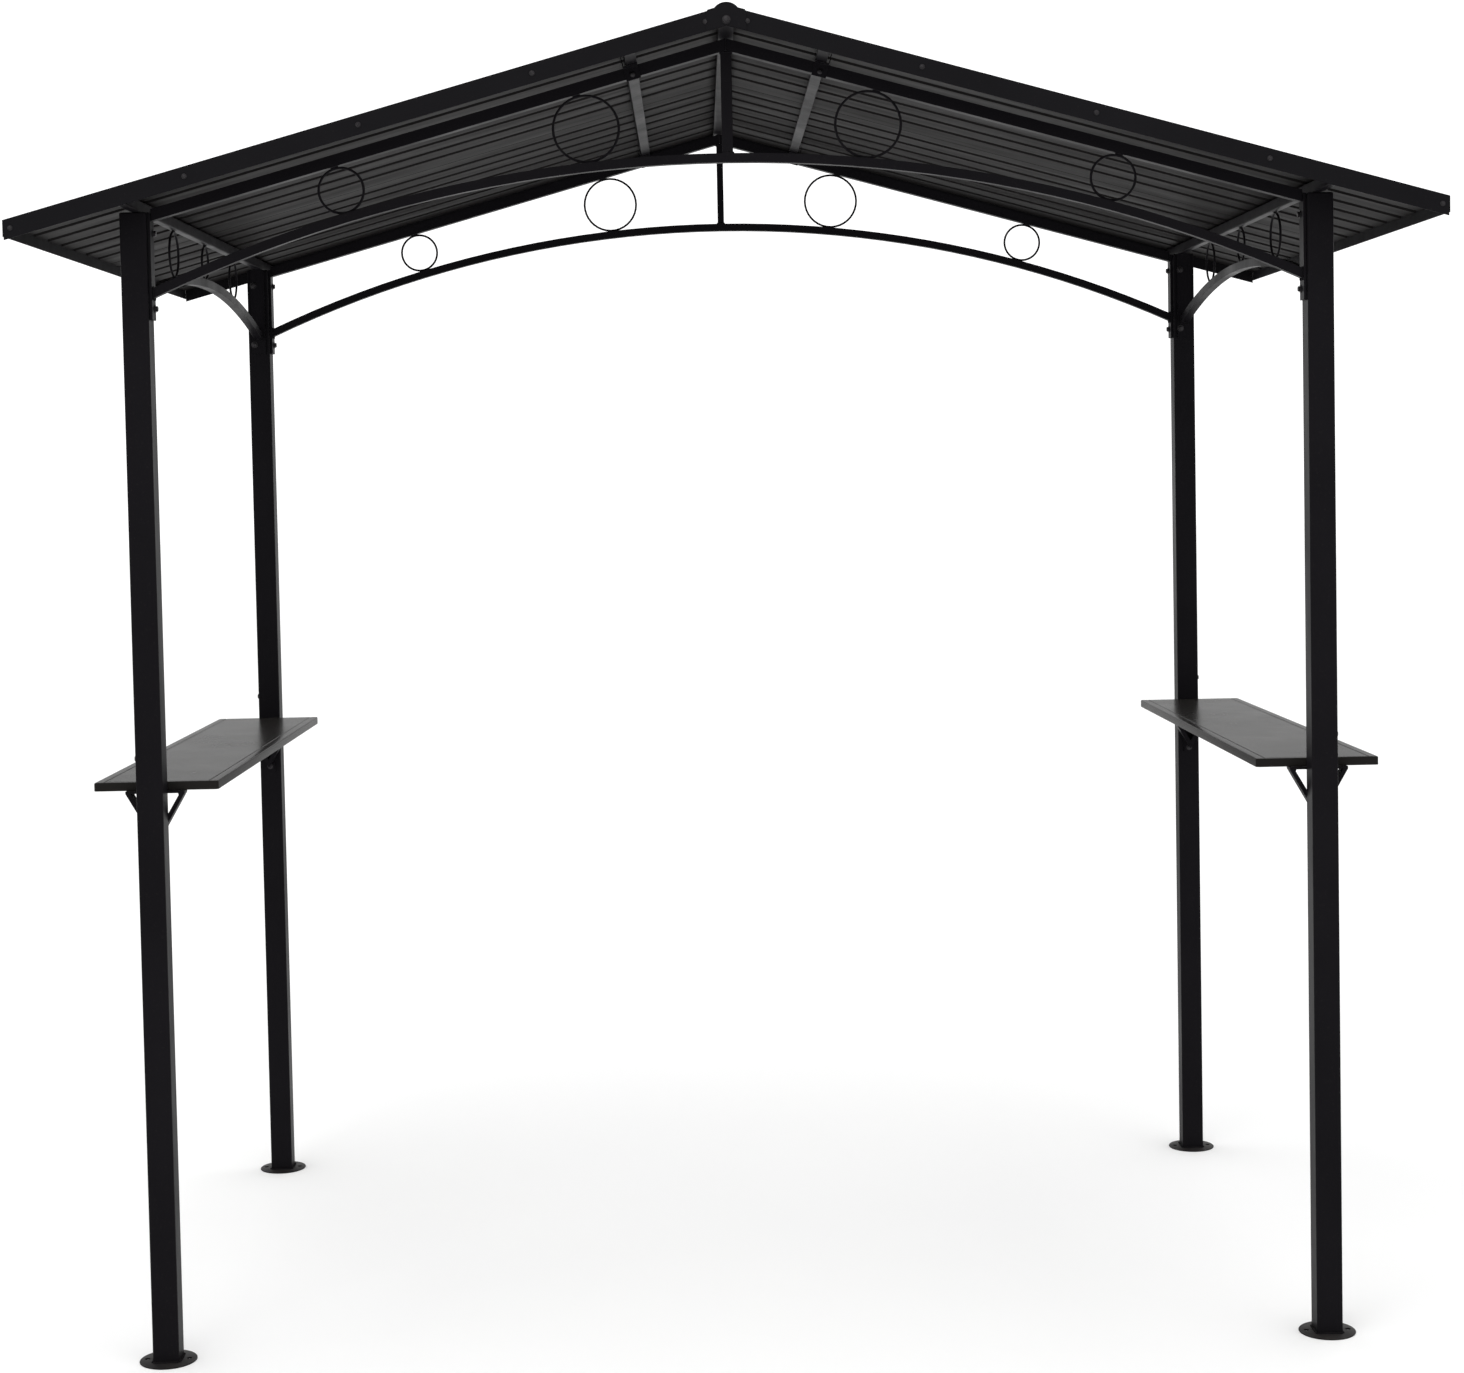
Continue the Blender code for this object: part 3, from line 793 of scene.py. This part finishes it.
def eave_screws():
    bm = bmesh.new()
    low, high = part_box("right_eave_trim")
    flange_drop = PITCH * (high.x - low.x)
    height = (low.z + high.z - flange_drop) / 2
    for side in SIDES.values():
        for y in EAVE_SCREW_Y:
            roof_screw(bm, (side * EAVE_X, y, height), (side, 0, 0), SMALL_SCREW)
    piece_from(bm, "eave_screws", dark_zinc)


def sheet_screws():
    """Screws on the flats between the ribs, over the purlins and the side beams."""
    bm = bmesh.new()
    rib_space = 2 * GABLE_Y / RIB_SPACES
    for number in range(1, RIB_SPACES, 2):
        y = (number + 0.5) * rib_space - GABLE_Y
        for side in SIDES.values():
            for x in (PURLIN_X, SIDE_BEAM_X):
                roof_screw(bm, (side * x, y, sheet_top(x)), ROOF_UP[side], SHEET_SCREW)
    piece_from(bm, "roof_sheet_screws", dark_zinc)


def cap_screws():
    """Screws through the wings of the ridge cap."""
    bm = bmesh.new()
    low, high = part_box("ridge_cap")
    x = high.x - CAP_SCREW_INSET
    height = low.z + PITCH * (high.x - x) + SHEET_THICKNESS
    for number in range(CAP_SCREW_COUNT):
        y = (number + 0.5) / CAP_SCREW_COUNT * 2 * GABLE_Y - GABLE_Y
        for side in SIDES.values():
            pan_screw(bm, (side * x, y, height), ROOF_UP[side])
    piece_from(bm, "ridge_cap_screws", dark_zinc)


# Gable peaks


def peak_outline(top, height):
    """Both slopes of the fascias, with the round top of the ridge cap above."""
    bottom = top - height + 0.001
    outline = [
        (-PEAK_HALF_WIDTH, top - PITCH * PEAK_HALF_WIDTH),
        (-PEAK_HALF_WIDTH, bottom - PITCH * PEAK_HALF_WIDTH),
        (0, bottom),
        (PEAK_HALF_WIDTH, bottom - PITCH * PEAK_HALF_WIDTH),
        (PEAK_HALF_WIDTH, top - PITCH * PEAK_HALF_WIDTH),
    ]
    roll_drop = PITCH * PEAK_ROLL_HALF_WIDTH
    start_height = math.sin(PEAK_ROLL_START)
    for step in range(9):
        turn = PEAK_ROLL_START + step / 8 * (math.pi - 2 * PEAK_ROLL_START)
        across = math.cos(turn) / math.cos(PEAK_ROLL_START)
        lift = (math.sin(turn) - start_height) / (1 - start_height)
        height = top - roll_drop + lift * (roll_drop + PEAK_ROLL_RISE)
        outline.append((across * PEAK_ROLL_HALF_WIDTH, height))
    return outline


def gable_peak(end_name, end):
    """The plate that closes the end of the ridge cap and ties the two fascias together."""
    height = fascia_high.z - fascia_low.z - PITCH * (fascia_high.x - fascia_low.x)
    top = fascia_high.z
    place = Matrix.Translation((0, end * GABLE_Y, 0)) @ Matrix.Rotation(math.pi / 2, 4, "X")
    if end > 0:
        place = place @ Matrix.Rotation(math.pi, 4, "Y")
    bm = bmesh.new()
    plate(bm, peak_outline(top, height), PEAK_THICKNESS, place, 0.0003)
    piece_from(bm, f"{end_name}_gable_peak_plate", trim_coat)
    bolt = bmesh.new()
    centre = (0, end * (GABLE_Y + PEAK_THICKNESS), top - PEAK_BOLT_DROP)
    bolt_head(bolt, centre, (0, end, 0))
    piece_from(bolt, f"{end_name}_gable_peak_bolt", dark_zinc)


# Welds of the arches


def ring_marks(half_span, end_height, apex, u, ceiling, slope):
    """Where a ring at u touches the arch below it and the straight bar above it."""
    rise = apex - ARCH_BAR / 2 - end_height
    radius = (half_span**2 + rise**2) / (2 * rise)
    centre = end_height + rise - radius
    outer = radius + ARCH_BAR / 2
    cosine = 1 / math.hypot(1, slope)
    reach = outer + (ceiling - centre) * cosine
    spare = reach**2 - u**2
    root = math.sqrt((reach * cosine) ** 2 + (1 - cosine**2) * spare)
    height = centre + spare / (reach * cosine + root)
    ring = (ceiling - height) * cosine
    away = Vector((u, height - centre)).normalized()
    low = Vector((u, height)) - away * ring
    outward = (u > 0) - (u < 0)
    high = Vector((u + outward * ring * slope * cosine, height + ring * cosine))
    return low, high


def stitch(point, slope):
    """Both ends of a short weld through the point, along a line of that slope."""
    tangent = Vector((1, slope)).normalized()
    return point - tangent * RING_WELD_REACH, point + tangent * RING_WELD_REACH


def truss_welds(end_name, end):
    bm = bmesh.new()
    king_low, king_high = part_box(f"{end_name}_king_post")
    half_span = INNER_X - END_PLATE_THICKNESS
    end_height = POST_TOP - TRUSS_ARCH_DROP
    y = end * POST_Y
    for side in SIDES.values():
        for x in TRUSS_RING_X:
            low, high = ring_marks(
                half_span, end_height, king_low.z, x, rafter_underside(x), PITCH
            )
            for point, slope in ((low, -low.x / TRUSS_ARCH_RADIUS), (high, -PITCH)):
                weld(bm, [(side * p.x, y, p.y) for p in stitch(point, slope)], 0.0024)
        for offset in (-ARCH_BAR / 2, ARCH_BAR / 2):
            tip = side * (half_span - WELD_LIFT)
            spread = ARCH_BAR / 2 + 0.004
            line = [(tip, y + offset, end_height + up) for up in (-spread, spread)]
            weld(bm, line, 0.0018)
    depth = (king_high.y - king_low.y) / 2
    for foot in (king_low.z, king_high.z - 0.003):
        height = foot + WELD_LIFT
        for across in (-1, 1):
            x = across * (king_high.x + 0.0002)
            weld(bm, [(x, y - depth, height), (x, y + depth, height)], 0.0017)
        for front in (-1, 1):
            face = y + front * depth
            weld(bm, [(king_low.x, face, height), (king_high.x, face, height)], 0.0016)
    piece_from(bm, f"{end_name}_truss_welds", frame_coat)


def side_welds(side_name, side):
    bm = bmesh.new()
    half_span = INNER_Y - END_PLATE_THICKNESS
    end_height = POST_TOP - SIDE_ARCH_DROP
    apex = end_height + SIDE_ARCH_RISE + ARCH_BAR / 2
    x = side * POST_X
    for y in SIDE_RING_Y:
        low, high = ring_marks(half_span, end_height, apex, y, POST_TOP + GAP, 0.0)
        for point, slope in ((low, -low.x / SIDE_ARCH_RADIUS), (high, 0)):
            weld(bm, [(x, p.x, p.y) for p in stitch(point, slope)], 0.0022)
    for end in ENDS.values():
        for offset in (-ARCH_BAR / 2, ARCH_BAR / 2):
            tip = end * (half_span - WELD_LIFT)
            spread = ARCH_BAR / 2 + 0.002
            line = [(x + offset, tip, end_height + up) for up in (-spread, spread)]
            weld(bm, line, 0.0018)
    piece_from(bm, f"{side_name}_side_arch_welds", frame_coat)


# Saddles under the purlins


def purlin_saddles():
    """A saddle that straps every purlin to the face of a rafter, with a ledge under it."""
    plates, screws = bmesh.new(), bmesh.new()
    rafter_half = (rafter_high.y - rafter_low.y) / 2
    ahead = -SADDLE_LEDGE / 2
    for end in ENDS.values():
        for side in SIDES.values():
            face = end * POST_Y - rafter_half - GAP
            slope = Matrix.Rotation(side * math.atan(PITCH), 4, "Y")
            crossing = Matrix.Translation((side * PURLIN_X, face, rafter_top(PURLIN_X))) @ slope
            upright = Matrix.Translation((0, 0, -SADDLE_HEIGHT / 2)) @ facing((0, 0, 0), (0, -1, 0))
            shape = rectangle(SADDLE_WIDTH, SADDLE_HEIGHT)
            plate(plates, shape, SADDLE_SHEET, crossing @ upright, 0.0003)
            under = Matrix.Translation((0, ahead, -SADDLE_SHEET - GAP))
            shape = rectangle(SADDLE_WIDTH, SADDLE_LEDGE)
            plate(plates, shape, SADDLE_SHEET, crossing @ under, 0.0003)
            for across in (-1, 1):
                aside = across * (SADDLE_WIDTH / 2 - SADDLE_SHEET / 2)
                wing = Matrix.Translation((aside, ahead, -GAP))
                shape = rectangle(SADDLE_SHEET, SADDLE_LEDGE)
                plate(plates, shape, SADDLE_WING, crossing @ wing, 0.0003)
            point = crossing @ Vector((0, -SADDLE_SHEET, -SADDLE_SCREW_DROP))
            pan_screw(screws, point, (0, -1, 0))
    piece_from(plates, "purlin_saddles", frame_coat)
    piece_from(screws, "purlin_saddle_screws", dark_zinc)


# Studio


def studio():
    """A white floor under a white sky, and one soft light from above the camera."""
    bm = bmesh.new()
    size = FLOOR_HALF_SIZE
    corners = [(-size, -size), (size, -size), (size, size), (-size, size)]
    bm.faces.new([bm.verts.new((x, y, 0)) for x, y in corners])
    mesh = bpy.data.meshes.new("studio_floor")
    bm.to_mesh(mesh)
    bm.free()
    mesh.materials.append(plain_floor())
    new_object("studio_floor", mesh)

    world = bpy.data.worlds.new("studio")
    world.use_nodes = True
    background = world.node_tree.nodes["Background"]
    background.inputs["Color"].default_value = (1.0, 1.0, 1.0, 1.0)
    background.inputs["Strength"].default_value = SKY_STRENGTH
    bpy.context.scene.world = world

    light = bpy.data.lights.new("key", "AREA")
    light.shape = "RECTANGLE"
    light.size, light.size_y = KEY_SIZE
    light.energy = KEY_WATTS
    lamp = new_object("key", light)
    lamp.location = KEY_PLACE
    aim = Vector(KEY_TARGET) - Vector(KEY_PLACE)
    lamp.rotation_euler = aim.to_track_quat("-Z", "Y").to_euler()


def camera():
    data = bpy.data.cameras.new("camera")
    data.sensor_fit = "HORIZONTAL"
    data.sensor_width = 36.0
    data.lens = CAMERA_LENS
    data.shift_x, data.shift_y = CAMERA_SHIFT
    view = new_object("camera", data)
    view.matrix_world = (
        Matrix.Translation(CAMERA_PLACE)
        @ Matrix.Rotation(-CAMERA_TURN, 4, "Z")
        @ Matrix.Rotation(math.pi / 2 + CAMERA_TILT, 4, "X")
        @ Matrix.Rotation(-CAMERA_ROLL, 4, "Z")
    )
    bpy.context.scene.camera = view


camera()
studio()
dress_cad_nodes()
feet()
for side_name, side in SIDES.items():
    shelf_tray(f"{side_name}_shelf")
    side_welds(side_name, side)
bracket_fasteners()
frame_bolts()
fascia_screws()
eave_screws()
sheet_screws()
cap_screws()
for end_name, end in ENDS.items():
    gable_peak(end_name, end)
    truss_welds(end_name, end)
purlin_saddles()

bpy.context.scene.view_settings.view_transform = "Standard"
